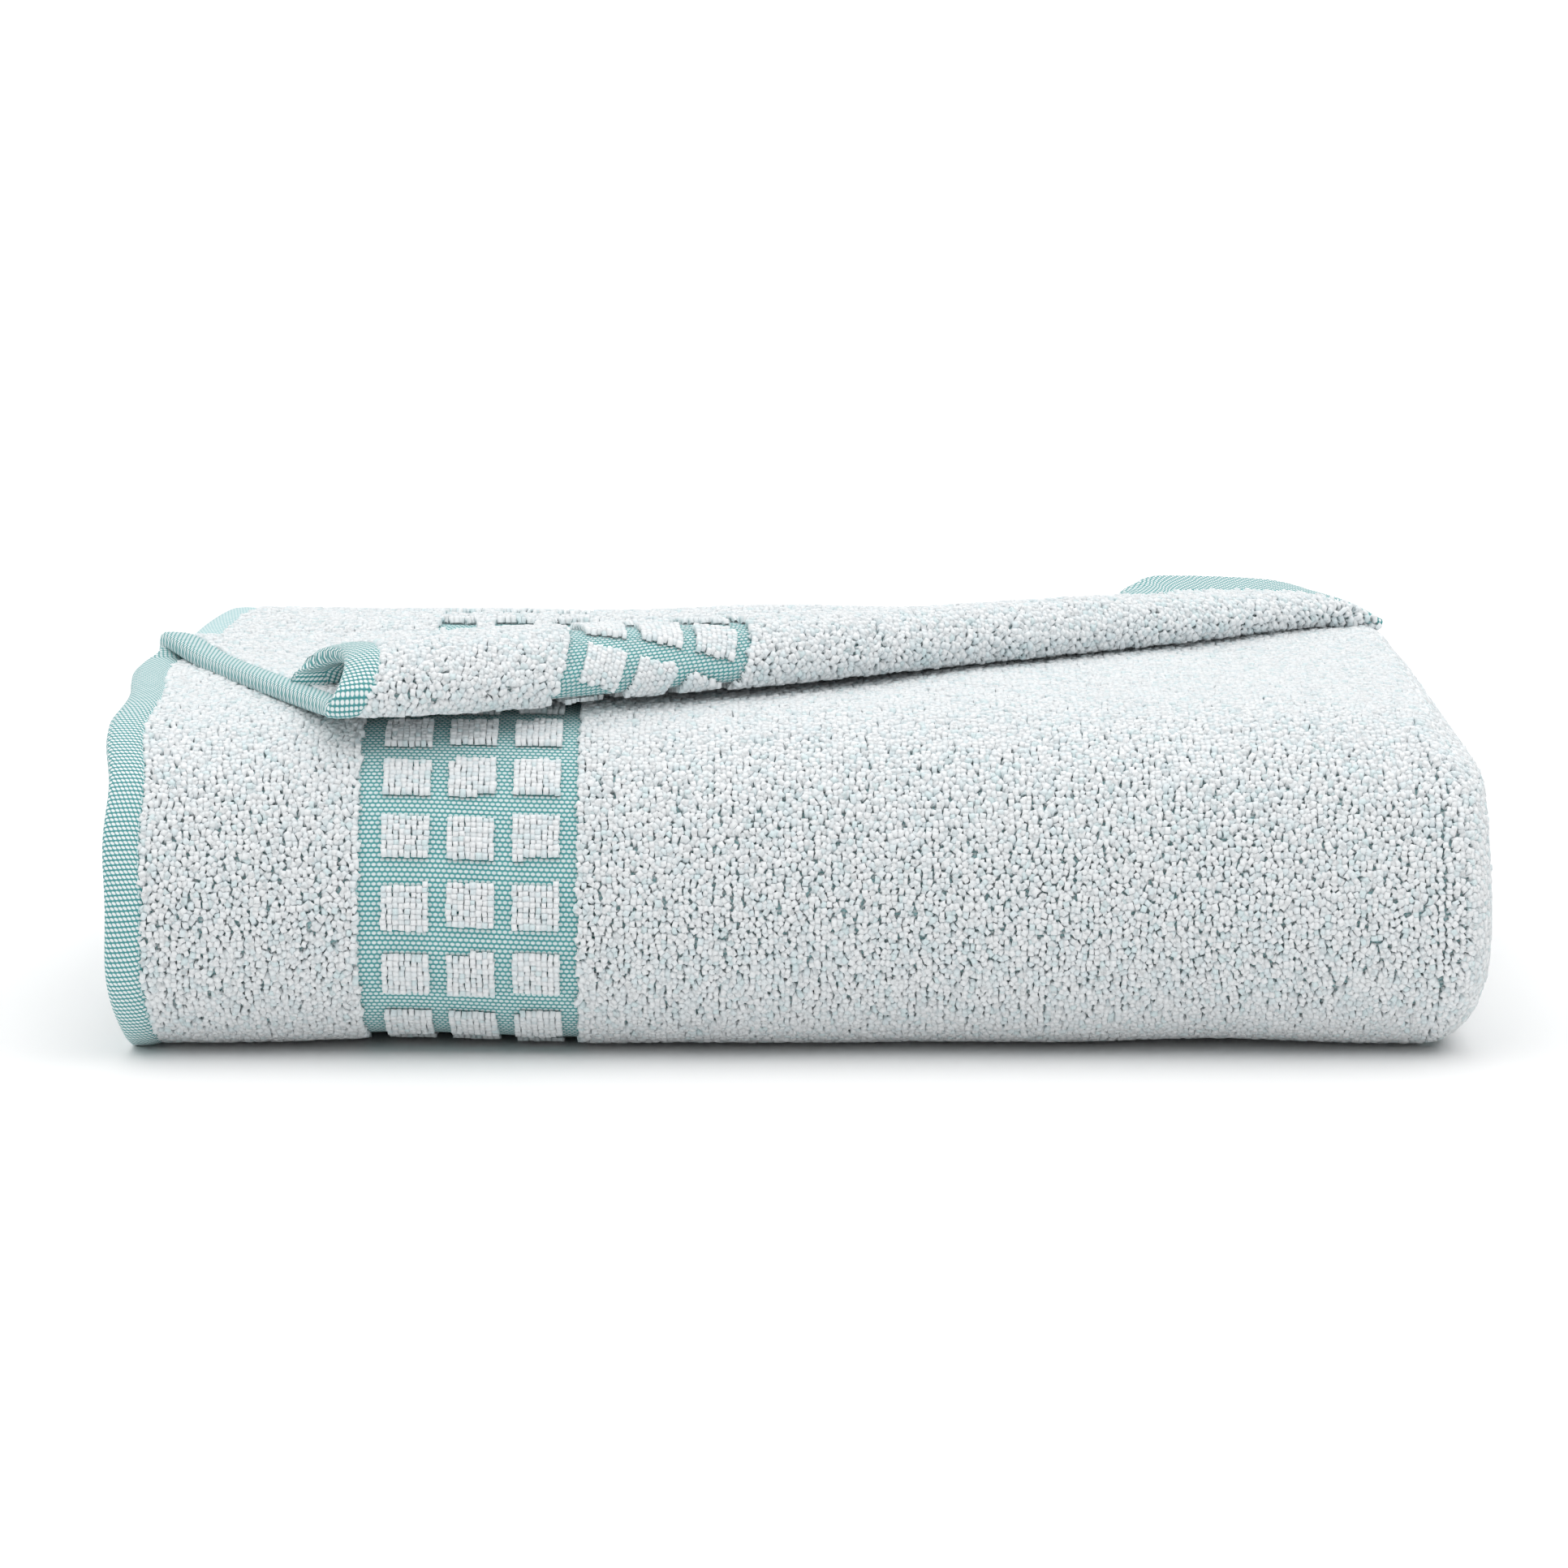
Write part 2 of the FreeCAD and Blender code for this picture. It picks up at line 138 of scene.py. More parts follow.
def resample(line, count, bend=3.0):
    """One line at count points, closer together where it bends."""
    step = np.diff(line, axis=0)
    long = np.linalg.norm(step, axis=1)
    way = step / np.maximum(long, 1e-9)[:, None]
    turn = np.zeros(len(long))
    turn[1:] = np.arccos(np.clip((way[1:] * way[:-1]).sum(1), -1, 1))
    pace = np.concatenate([[0], np.cumsum(long + bend * turn)])
    return on_line(line, pace, np.linspace(0, pace[-1], count))


def ease(x, start, end):
    """0 before start, 1 after end, smooth between them."""
    t = np.clip((np.asarray(x, float) - start) / (end - start), 0, 1)
    return t * t * (3 - 2 * t)


def along(places, values, x):
    """A smooth run of values over places."""
    pairs = np.array([list(zip(places, values))], float)
    fine = smooth(pairs)[0]
    return np.interp(x, fine[:, 0], fine[:, 1])


# %% [markdown]
# ## The pile's section
# Seen from the left end, every ply runs along the floor, up round the front fold,
# back over the top, down round the back fold and into the middle. One outer
# section gives them all: an inner ply is the same path, moved inward.

# %% The outer section
fold_back = 88.0
fold_high, fold_radius = 58.6, 24.8
back_turn = [
    (fold_back + fold_radius * math.sin(a), fold_high + fold_radius * math.cos(a))
    for a in np.radians([0, 36, 72, 108, 144, 180])
]
OUTER = [
    (114, 2.0), (60, 1.8), (0, 1.8), (-60, 1.8), (-84, 2.1), (-96, 5.1),
    (-104, 11.2), (-110.8, 23), (-112.6, 33), (-111.8, 42), (-105.3, 57),
    (-94.4, 69.9), (-80, 78.4), (-65.5, 82.2), (-40, 83.6), (0, 83.8), (50, 83.8),
    *back_turn,
    (60, 33.5), (0, 33.5), (-72, 33.5),
]
section = smooth(np.array([OUTER], float), 24)
run = lengths(section)[0]
section = section[0]
inward = np.gradient(section, axis=0)
inward = np.stack([inward[:, 1], -inward[:, 0]], axis=1)
inward /= np.linalg.norm(inward, axis=1)[:, None]
top_side = (section[:, 1] > 70) & (section[:, 0] < fold_back)
print("length of one ply along its section:", round(run[-1], 1))


def run_at(y):
    """How far along the section the top panel reaches y."""
    rising = np.flatnonzero(top_side)
    return np.interp(y, section[rising, 0], run[rising])


# %% [markdown]
# ## Soft edges
# Cloth never lies quite flat or straight. Noise would do for that, but it tears
# neighbouring plies apart. So a slow ripple moves all plies together, the left end
# draws in at the floor and swells a little on top, and the right end has a shoulder.


# %% Ripple and edge
def ripple(x, s):
    """The slow waves of the cloth, at x and at s along the section."""
    return (
        0.45 * np.sin(x / 31 + s / 47 + 0.6)
        + 0.3 * np.sin(x / 17 - s / 29 + 2.1)
        + 0.2 * np.sin(x / 11 + s / 19)
    )


def shoulder(z):
    """How far the top right edge rounds in."""
    return 7.5 * ease(z, 67, 80)


def drift(x, y, z):
    """How far the ends of the pile move along x."""
    near_left = np.exp(-(x - LEFT) / 35)
    near_right = np.exp(-(RIGHT - x) / 25)
    floor = 4.5 * np.exp(-((z / 15) ** 2))
    swell = 3.2 * np.exp(-(((y + 5) / 38) ** 2)) * (z > 70)
    side = (1.5 + 1.5 * np.exp(-(((z - 78) / 7) ** 2))) * (1 - ease(z, 80, 85))
    wave = 0.5 * np.sin(z / 7 + y / 11)
    return near_left * (floor - swell - side + wave) - near_right * (floor + shoulder(z))


# %% [markdown]
# ## A place on a ply
# The flap starts at a crease that slants across the top. Behind it the outer ply is
# missing, up to the right end, and the plies below rise into its place. They are
# plumper there, and the left end is tucked in.

# %% Crease and ply
CREASE_SLOPE = 0.187


def crease_y(x):
    """How far back the crease lies at x."""
    return 22 + (np.asarray(x, float) - LEFT) * CREASE_SLOPE


def pile_points(x, level, s):
    """Places on a ply at x, level (1 is outermost) and distance s along the section."""
    y = np.interp(s, run, section[:, 0])
    z = np.interp(s, run, section[:, 1])
    n = np.stack([np.interp(s, run, inward[:, k]) for k in (0, 1)], axis=-1)
    past = ease(s, run_at(crease_y(x)) - 8, run_at(crease_y(x)) + 30)
    missing = 1 - ease(x, 112, 150)
    depth = PLY * (level - 1) - PLY * past * missing * min(1, max(0, level - 1))
    depth = depth + ripple(x, s) * ease(s, 30, 200)
    tuck = (4.5 + 12 * ease(y, 45, 112)) * math.exp(-(x - LEFT) / 60) * past
    plump = 4.4 * ease(y, 25, 92) * ease(z, 60, 82) * (1 - ease(x, 95, 150))
    y, z = y + n[..., 0] * depth, z + n[..., 1] * depth + plump
    return np.stack([x + drift(x, y, z) + tuck, y, z], axis=-1)


# %% [markdown]
# ## The flap's two folds
# The top third is folded forward along a slanting crease and then back along a
# second slanting line, its roll. Both lines meet at the right end, where the
# cloth is held by its end turn. Between them the cloth lies back side up. A folded
# sheet is its own mirror image in its crease, which gives the way that it runs.

# %% Fold lines
PLACES = [0, 60, 120, 180, 240, 280, 310, 337]  # along the outer ply, from its end hem
ROLL_LINE = [
    (-131, -85), (-116, -91), (-99, -90), (-78, -82.5), (-55, -72), (-31, -60),
    (-6, -47.5), (36, -18.5), (79, 14), (103, 33), (127, 55), (147, 73), (159, 83),
]
roll_line = smooth(np.array([ROLL_LINE], float))[0]


def under_way(x):
    """The way the cloth runs forward from the crease, fanned out a little at the left."""
    fan = math.radians(4.5) * math.exp(-(x - LEFT) / 70)
    angle = 2 * math.atan(CREASE_SLOPE) - math.pi / 2 + fan
    return np.array([math.cos(angle), math.sin(angle)])


def roll_foot(x):
    """Where the cloth from the crease at x reaches the roll, and how far that is."""
    start, under = np.array([float(x), float(crease_y(x))]), under_way(x)
    side = (roll_line - start) @ np.array([-under[1], under[0]])
    k = int(np.argmin(np.abs(side)))
    reach = max(1.5, float((roll_line[k] - start) @ under))
    angle = math.radians(along(PLACES, [15, 14, 22, 32, 37, 39, 40, 38], x - LEFT))
    return start + reach * under, reach, np.array([math.cos(angle), math.sin(angle)])


for x in (-175, -105, -50, 60, 140):
    print("roll foot from", x, np.round(roll_foot(x)[0], 1), round(roll_foot(x)[1], 1))

# %% [markdown]
# ## The flap's section
# The roll is an open tube at its left end and flattens to the right, where its far
# hem stands up a little before it ends in a low point. A swept tube would be closed
# and even, so the section is given as steps away from the roll's foot instead: back
# across the roll, along it, and up. Each step grows or shrinks along the roll.

# %% Flap stations
ROLL = [  # back as a share of the roll's depth, lean along it, up as a share
    (0.35, 0.0, 0.0), (0.06, 0.05, 0.05), (-0.03, 0.3, 0.28), (0.12, 0.62, 0.6),
    (0.42, 0.9, 0.88), (0.9, 1.0, 1.0), (1.35, 0.55, 0.9), (1.68, 0.0, 0.55),
    (1.74, -0.2, 0.16),
]


def flap_points(x, s_end):
    """The places that ply 1 passes after the top panel, from the crease to its free edge."""
    u = x - LEFT
    foot, reach, way = roll_foot(x)
    yc = float(crease_y(x))
    small = min(1.0, reach / 30)
    lift = 2.2 * math.exp(-u / 22)
    spots = pile_points(x, 1, np.array([s_end - 12, s_end])).tolist() + [
        [x, yc - 4 * small, TOP + 0.3 + lift],
        [x, yc + 0.6, TOP + 1.4 + lift],
        [x, yc + 1.6, TOP + 2.8 + lift * 0.8],
        [x + 0.3, yc - 0.4, TOP + 4.6 + lift * 0.7],
    ]
    start = np.array([x, yc])
    sag = along(PLACES, [3.6, 4.0, 5.2, 5.8, 5.4, 5.0, 4.6, 3.2], u)
    for share in (0.25, 0.6) if reach > 25 else (0.4,):
        place = start + under_way(x) * reach * share
        spots.append([*place, TOP + sag + lift * (0.35 - share * 0.4)])
    deep = along(PLACES, [21, 20.5, 18, 13, 11, 11, 10, 6], u)
    high = along(PLACES, [15.4, 15.4, 13.4, 11.2, 10.0, 7.8, 6.0, 4.6], u)
    high -= 5 * math.exp(-u / 11)
    end = float(np.clip((u - 322) / 15, 0, 1))
    high *= math.sqrt(1 - 0.96 * end**2)
    lean = along(PLACES, [8, 8, 8, 6, 4, 3, 2, 1], u)
    raised = ease(u, 248, 280) * (1 - 0.75 * ease(u, 318, 337))
    across_way = np.array([-way[1], way[0]])
    for back, tilt, up in ROLL:
        if raised > 0 and back > 1.2:
            up = up * (1 - raised) + raised * (1.12 + 0.5 * (back - 1.2) / 0.54)
            back = back * (1 + 0.25 * raised)
        place = foot + across_way * back * deep + way * tilt * lean
        spots.append([*place, TOP + sag + up * high])
    spots = np.array(spots, float)
    spots[2:, 0] -= shoulder(TOP) * math.exp(-(RIGHT - x) / 25)
    spots[7:, 0] += 6.0 * end
    spots[7:, 2] -= 2.0 * end**2
    return spots


# %% [markdown]
# ## One sheet of cloth
# The towel runs from its outer end hem across the top ply, round the right end,
# back along the fourth ply, round the left end, along the third, round again and
# back along the second to its other end hem. Four separate plies would be easier,
# but the towel is one cloth, and its end turns show at both ends of the pile. Each
# line across the cloth is a row of points, and the rows together are the sheet.

# %% Lay the lines of cloth
FIRST, SECOND = 150, 120  # points up to the crease, and past it


def pile_line(x, level):
    """A line of cloth that follows the pile's section all the way."""
    split = run_at(crease_y(x) - 12)
    fine = np.linspace(0, split, 400), np.linspace(split, run[-1], 500)
    a, b = (pile_points(x, level, s) for s in fine)
    return np.concatenate([resample(a, FIRST), resample(b, SECOND + 1)[1:]])


def flap_line(x):
    """A line of the outer ply, over the crease and round the roll."""
    split = float(run_at(crease_y(x) - 12))
    a = pile_points(x, 1, np.linspace(0, split, 400))
    spots = smooth(flap_points(x, split)[None], 16)[0][16:]
    return np.concatenate([resample(a, FIRST), resample(spots, SECOND + 1)[1:]])


def turn_line(x, side, a, b, share):
    """A line round an end turn between two levels."""
    angle = math.pi * share
    level = (a + b) / 2 + (a - b) / 2 * math.cos(angle)
    return pile_line(x + side * abs(a - b) / 2 * PLY * math.sin(angle), level)


left_end = LEFT + 8
parts = {
    "outer": [flap_line(x) for x in np.linspace(LEFT + 0.4, TURN, 136)],
    "right turn": [turn_line(TURN, 1, 1, 4, k / 13) for k in range(14)],
    "fourth": [pile_line(x, 4) for x in np.linspace(TURN, left_end, 30)[1:]],
    "left turn": [turn_line(left_end, -1, 4, 3, k / 8) for k in range(1, 9)],
    "third": [pile_line(x, 3) for x in np.linspace(left_end, TURN, 30)[1:]],
    "inner turn": [turn_line(TURN, 1, 3, 2, k / 8) for k in range(1, 9)],
    "second": [pile_line(x, 2) for x in np.linspace(TURN, LEFT + 2.5, 110)[1:]],
}
cloth = np.array([line for rows in parts.values() for line in rows])
ends = np.cumsum([len(rows) for rows in parts.values()])
span = {name: (end - len(parts[name]), end) for name, end in zip(parts, ends)}
corner_x = np.linspace(112, TURN, 20)
gusset = np.array([pile_line(x, 1 + 0.16 * (1 - float(ease(x, 112, 150)))) for x in corner_x])
print("lines of cloth:", len(cloth), "points on each:", cloth.shape[1])

# %% [markdown]
# ## Places on the cloth
# The weave is laid out in cloth coordinates: how far from the nearer end hem, and
# how far from the side edge. Both are measured on the laid sheet, so the pattern
# keeps its size round every fold. A flat projection would stretch it there.

# %% Cloth coordinates
MIDDLE = 60  # the point of each line where lengths along the towel are taken
middle = cloth[:, MIDDLE : MIDDLE + 2].mean(1)
step = np.linalg.norm(np.diff(middle, axis=0), axis=1)
from_start = np.concatenate([[0], np.cumsum(step)])
halfway = span["left turn"][0] + 4
from_end = from_start[-1] - from_start
ends_u = np.where(np.arange(len(cloth)) <= halfway, from_start, from_end)
side_v = lengths(cloth)
along_lines = side_v[:, -1].round()[[0, 60, -1]]
print("towel across its lines:", round(from_start[-1]), "along them:", along_lines)


def frames(lines):
    """Ways along u and v, and the face's normal, at every point of a grid."""
    u = np.gradient(lines, axis=0)
    v = np.gradient(lines, axis=1)
    v /= np.linalg.norm(v, axis=2)[..., None] + 1e-9
    n = np.cross(u, v)
    n /= np.linalg.norm(n, axis=2)[..., None] + 1e-9
    return np.cross(v, n), v, n


# %% [markdown]
# ## Shader maths
# A node tree is easier to read as sums. `Value` wraps a socket so that `a * 2 + b`
# adds Math nodes, and `Finish.node` adds any other node.


# %% Shader helpers
class Value:
    """A node's output as a number that can be reckoned with."""

    def __init__(self, finish, socket):
        self.finish, self.socket = finish, socket

    def math(self, operation, *others):
        node = self.finish.node("ShaderNodeMath", {"operation": operation}, [self, *others])
        return Value(self.finish, node.outputs[0])

    def __add__(self, other):
        return self.math("ADD", other)

    def __sub__(self, other):
        return self.math("SUBTRACT", other)

    def __rsub__(self, other):
        node = self.finish.node("ShaderNodeMath", {"operation": "SUBTRACT"}, [other, self])
        return Value(self.finish, node.outputs[0])

    def __mul__(self, other):
        return self.math("MULTIPLY", other)

    __radd__, __rmul__ = __add__, __mul__

    def step(self, start, end):
        """0 at start, 1 at end, smooth between."""
        node = self.finish.node(
            "ShaderNodeMapRange",
            {"interpolation_type": "SMOOTHSTEP"},
            {"Value": self, "From Min": start, "From Max": end},
        )
        return Value(self.finish, node.outputs[0])


class Finish:
    """A material under way."""

    def __init__(self, name, roughness=0.9, sheen=0.25):
        self.material = bpy.data.materials.new(name)
        self.material.use_nodes = True
        self.tree = self.material.node_tree
        self.shader = self.tree.nodes["Principled BSDF"]
        self.shader.inputs["Roughness"].default_value = roughness
        self.shader.inputs["Sheen Weight"].default_value = sheen
        self.shader.inputs["Specular IOR Level"].default_value = 0.2

    def node(self, kind, settings=None, inputs=()):
        """Adds a node: its settings first, then its sockets' values or links."""
        node = self.tree.nodes.new(kind)
        for name, value in (settings or {}).items():
            setattr(node, name, value)
        for key, value in inputs.items() if isinstance(inputs, dict) else enumerate(inputs):
            socket = node.inputs[key]
            value = value.socket if isinstance(value, Value) else value
            if isinstance(value, bpy.types.NodeSocket):
                self.tree.links.new(value, socket)
            else:
                socket.default_value = value
        return node

    def mix(self, share, a, b):
        """A colour between a and b."""
        node = self.node("ShaderNodeMix", {"data_type": "RGBA"}, {0: share, 6: a, 7: b})
        return node.outputs[2]

    def link(self, name, value):
        value = value.socket if isinstance(value, Value) else value
        self.tree.links.new(value, self.shader.inputs[name])


# %% [markdown]
# ## The weave
# Hems, the bars between the squares and the ground under the loops are one plain
# weave: teal threads with small white dots where the warp shows, and a darker
# line between rows. Real threads would be a million tiny pieces, and at this size
# only their dots show, so they are drawn in cloth coordinates at the thread's real
# size. Between the loops the ground is painted paler. This is painted light that lifts
# the shade falling in the narrow gaps.

# %% Weave finish
TEAL = (0.105, 0.385, 0.395, 1)
DEEP_TEAL = (0.05, 0.235, 0.25, 1)
# painted light: the ground between the loops is made paler than TEAL to lift the shade in their
# gaps
PAINTED_LIGHT_TEAL = (0.45, 0.74, 0.76, 1)
BLEACHED = (0.86, 0.92, 0.925, 1)


def weave(name, white=0.85, pick=1.33, end=0.94, shade=0.7, slant=0.0, ground=TEAL, band=None):
    """Flat-woven cloth; white is how far the warp dots show, slant leans them.

    Outside the band, if one is given, the ground is painted paler, as painted light that lifts the
    shade in the gaps between loops.
    """
    f = Finish(name, roughness=0.85, sheen=0.2)
    uv = f.node("ShaderNodeUVMap", {"uv_map": "cloth"})
    split = f.node("ShaderNodeSeparateXYZ", None, [uv.outputs[0]])
    u = Value(f, split.outputs[0]) * (1000 / end)
    v = Value(f, split.outputs[1]) * (1000 / pick)
    row = v.math("FLOOR")
    odd = row.math("MULTIPLY", 0.5).math("FRACT")
    y = v.math("FRACT") - 0.5
    x = (u + odd + y * slant).math("FRACT") - 0.5
    r = (x * x + y * y * 1.3).math("SQRT")
    dot = 1 - r.step(0.28, 0.52)
    gap = y.math("ABSOLUTE").step(0.34, 0.5)
    noise = f.node(
        "ShaderNodeTexNoise", None, {"Vector": uv.outputs[0], "Scale": 900.0, "Detail": 3.0}
    )
    uneven = Value(f, noise.outputs[0])
    weft = f.mix(gap * shade, ground, DEEP_TEAL)
    if band:
        place = Value(f, split.outputs[0]) * 1000
        inside = place.step(band[0] - 0.4, band[0]) * (1 - place.step(band[1], band[1] + 0.4))
        # painted light: outside the band the ground takes the pale teal, lifting the shade between
        # loops
        weft = f.mix(inside, PAINTED_LIGHT_TEAL, weft)
    f.link("Base Color", f.mix(dot * (uneven * 0.6 + 0.6) * white, weft, BLEACHED))
    height = dot * 0.8 - gap * 0.5 + uneven * 0.3
    bump = f.node(
        "ShaderNodeBump", None, {"Strength": 0.5, "Distance": 0.0003, "Height": height}
    )
    f.link("Normal", bump.outputs[0])
    f.link("Roughness", uneven * 0.1 + 0.8)
    return f.material


# %% [markdown]
# ## Three weaves
# The ground has wide even dots, the hem a tighter slanting weave, and the inner end
# hem is a paler one, with hardly a line between its rows.

# %% The weaves
border_span = BORDER_START - 3.5, BORDER_START + BORDER_WIDTH + 1
ground_weave = weave("ground weave", white=0.9, end=1.4, pick=1.25, shade=0.5, band=border_span)
hem_weave = weave("hem weave", white=1.15, end=1.05, pick=1.25, shade=0.75, slant=0.6)
pale_ground = (0.4, 0.64, 0.66, 1)
pale_weave = weave("pale hem weave", white=0.8, pick=1.15, shade=0.2, ground=pale_ground)
print("weaves:", ground_weave.name, hem_weave.name, pale_weave.name)

# %% [markdown]
# ## Meshes from grids
# Sheet, hems, loops and stitches are all grids of points, some of them wrapped
# round into tubes, so one helper turns any grid into a mesh of quads. The cloth's
# map goes with it, in metres, so that the weave has its real size.


# %% Mesh helpers
def new_piece(name, points, quads, materials, uv=None, tint=None):
    """A mesh piece from points in millimetres, riding on the towel."""
    mesh = bpy.data.meshes.new(name)
    mesh.vertices.add(len(points))
    mesh.vertices.foreach_set("co", (np.asarray(points) * MM).astype(np.float32).ravel())
    mesh.loops.add(quads.size)
    mesh.polygons.add(len(quads))
    mesh.loops.foreach_set("vertex_index", quads.astype(np.int32).ravel())
    mesh.polygons.foreach_set("loop_start", np.arange(0, quads.size, 4, dtype=np.int32))
    mesh.polygons.foreach_set("use_smooth", np.ones(len(quads), bool))
    for material in materials:
        mesh.materials.append(material)
    if tint is not None:
        mesh.polygons.foreach_set("material_index", tint.astype(np.int32))
    if uv is not None:
        layer = mesh.uv_layers.new(name="cloth")
        layer.data.foreach_set("uv", (uv[quads.ravel()] * MM).astype(np.float32).ravel())
    mesh.update(calc_edges=True)
    piece = bpy.data.objects.new(name, mesh)
    bpy.context.scene.collection.objects.link(piece)
    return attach(piece, "root")


def grid_quads(rows, columns, wrap=False, keep=None):
    """Quads between neighbouring points of a grid."""
    wide = columns if wrap else columns - 1
    i, j = np.meshgrid(np.arange(rows - 1) * columns, np.arange(wide), indexing="ij")
    k = (j + 1) % columns
    quads = np.stack([i + j, i + columns + j, i + columns + k, i + k], -1)
    return quads[keep] if keep is not None else quads.reshape(-1, 4)


# %% [markdown]
# ## Ground cloth
# The woven ground carries everything else. It is the sheet itself, with one web
# added at the back right corner, where the outer ply runs on behind the flap.

# %% Ground cloth
lines, count = cloth.shape[:2]
keep = np.ones((lines - 1, count - 1), bool)
keep[span["outer"][1] - 1, FIRST - 1 :] = False  # the flap leaves the end turn here
sheet_quads = grid_quads(lines, count, keep=keep)
sheet_uv = np.stack([np.repeat(ends_u[:, None], count, 1), side_v], -1).reshape(-1, 2)
web = gusset[:, FIRST - 1 :]
web_quads = grid_quads(len(web), web.shape[1]) + lines * count
web_v = side_v[span["right turn"][0], FIRST - 1 :]
web_u = np.repeat(web[:, 0, 0][:, None] - LEFT, len(web_v), 1)
web_uv = np.stack([web_u, np.repeat(web_v[None], len(web), 0)], -1).reshape(-1, 2)
ground_cloth = new_piece(
    "ground_cloth",
    np.concatenate([cloth.reshape(-1, 3), web.reshape(-1, 3)]),
    np.concatenate([sheet_quads, web_quads]),
    [ground_weave],
    np.concatenate([sheet_uv, web_uv]),
)
print("ground cloth faces:", len(ground_cloth.data.polygons))

# %% [markdown]
# ## Hems
# A hem is the cloth's edge turned over twice and sewn: a padded flat tube, round
# at its outer edge and pinched at the seam. Turning the sheet itself over would hide
# two of its three layers, so the hem's outside is swept along the edge instead.

# %% Hem sections
HEM_SHAPE = [  # share of the width, share of the half thickness
    (0.0, 0.0), (0.03, 0.62), (0.12, 0.95), (0.35, 1.0), (0.65, 0.95), (0.86, 0.78),
    (0.93, 0.5), (1.0, 0.42),
]
HEM_LOOP = np.array(HEM_SHAPE + [(w, -t) for w, t in HEM_SHAPE[:0:-1]])


def at_u(rows, places, u):
    """A line of the grid between its lines, at u."""
    k = float(np.interp(u, places, np.arange(len(places))))
    i = min(int(k), len(rows) - 2)
    return rows[i] * (1 - (k - i)) + rows[i + 1] * (k - i)


def hem_piece(name, ring, walk, width):
    """The piece of a hem, from its sections and how far along the edge each one is."""
    over = np.repeat(HEM_LOOP[None, :, 0] * width, len(walk), 0)
    uv = np.stack([over, np.repeat(walk[:, None], len(HEM_LOOP), 1)], -1)
    quads = grid_quads(*ring.shape[:2], wrap=True)
    piece = new_piece(name, ring.reshape(-1, 3), quads, [hem_weave], uv.reshape(-1, 2))
    return piece


def end_hem(name, rows, places, width, half):
    """A hem along a grid's first edge, where places measures from that edge."""
    _, _, n = frames(rows)
    ring = []
    for w, t in HEM_LOOP:
        ring.append(at_u(rows, places, w * width) + at_u(n, places, w * width) * t * half)
    return hem_piece(name, np.array(ring).transpose(1, 0, 2), lengths(rows[:1])[0], width)


def side_hem(name, rows, width, half, last):
    """A hem along the lines' first or last points."""
    rows = rows[:, ::-1] if last else rows
    _, _, n = frames(rows)
    far = lengths(rows)
    ring = np.empty((len(rows), len(HEM_LOOP), 3))
    at = HEM_LOOP[:, 0] * width
    for i, (line, normal, s) in enumerate(zip(rows, n, far)):
        ring[i] = on_line(line, s, at) + on_line(normal, s, at) * HEM_LOOP[:, 1:] * half
    return hem_piece(name, ring, lengths(rows[:, :1].transpose(1, 0, 2))[0], width)


# %% [markdown]
# ## The five hems
# Two hems close the towel's ends. One long side hem lies under at the back, and the
# other is tucked into the middle, except on the flap, where it comes out on top and
# is a piece of its own.

# %% The five hems
outer = cloth[slice(*span["outer"])]
second = cloth[slice(*span["second"])][::-1]
outer_u = np.linspace(0, TURN - LEFT, len(outer))
second_u = np.linspace(0, TURN - LEFT - 2.5, len(second) + 1)[: len(second)]
hems = [
    end_hem("outer_end_hem", outer, outer_u, HEM, 2.4),
    end_hem("second_end_hem", second, second_u, HEM, 2.0),
    side_hem("side_hem_under", cloth, SIDE_HEM, 1.9, False),
    side_hem("side_hem_tucked", cloth[span["right turn"][0] :], SIDE_HEM, 1.9, True),
    side_hem("flap_edge_hem", outer, SIDE_HEM, 1.9, True),
]
hems[1].data.materials[0] = pale_weave  # the inner end hem is paler
print("hems:", [h.name for h in hems])

# %% [markdown]
# ## Loops
# Terry is loops of soft twisted yarn. Each loop is a short arched tube on the
# ground cloth. Bumps or hair would be lighter to hold, but a loop's shadow on the
# teal ground, and the broken edge that loops give, need real geometry. Every loop
# leans and stands a little differently, and its feet don't reach through the cloth.

# %% One loop of yarn
RING = np.array([(1, 1), (-1, 1), (-1, -1), (1, -1)]) * 0.7071
ARCH = [  # along as a share of half the length, up as a share, slope
    (-1.0, 0.13, 0.9), (-0.55, 0.8, 0.45), (0.55, 0.8, -0.45), (1.0, 0.13, -0.9),
]
rng = np.random.default_rng(7)


def loops(places, along_v, normal, length, height, thick, lean, turn):
    """Arched tubes at places. Returns their points and quads."""
    count = len(places)
    spin = rng.normal(0, turn, count)
    cross = np.cross(along_v, normal)
    v = along_v * np.cos(spin)[:, None] + cross * np.sin(spin)[:, None]
    u = np.cross(v, normal)
    long = length * rng.uniform(0.8, 1.2, count)
    tall = height * rng.uniform(0.78, 1.15, count)
    fat = thick * rng.uniform(0.85, 1.2, count)
    tip = rng.normal(0, lean, (count, 2))
    points = np.empty((count, 4, 4, 3))
    for k, (a, h, slope) in enumerate(ARCH):
        top = h if h > 0.5 else 0.0
        middle = (
            places
            + v * (a * long / 2 + tip[:, 0] * top)[:, None]
            + u * (tip[:, 1] * top)[:, None]
            + normal * (h * tall)[:, None]
        )
        up = normal * math.cos(slope) - v * math.sin(slope)
        for m, (p, q) in enumerate(RING):
            wall = u * (p * fat / 2)[:, None]
            points[:, k, m] = middle + wall + up * (q * fat / 3)[:, None]
    one = grid_quads(4, 4, wrap=True)
    quads = (np.arange(count)[:, None, None] * 16 + one[None]).reshape(-1, 4)
    return points.reshape(-1, 3), quads


# %% [markdown]
# ## Yarn finishes
# The yarn is bleached cotton, and light goes a little way into it, which keeps the
# gaps between loops from turning grey. No two loops take the light alike, so they
# share a few close whites, one of them faintly teal from the ground beneath. A noise
# pattern would show less than that at the size of one loop.


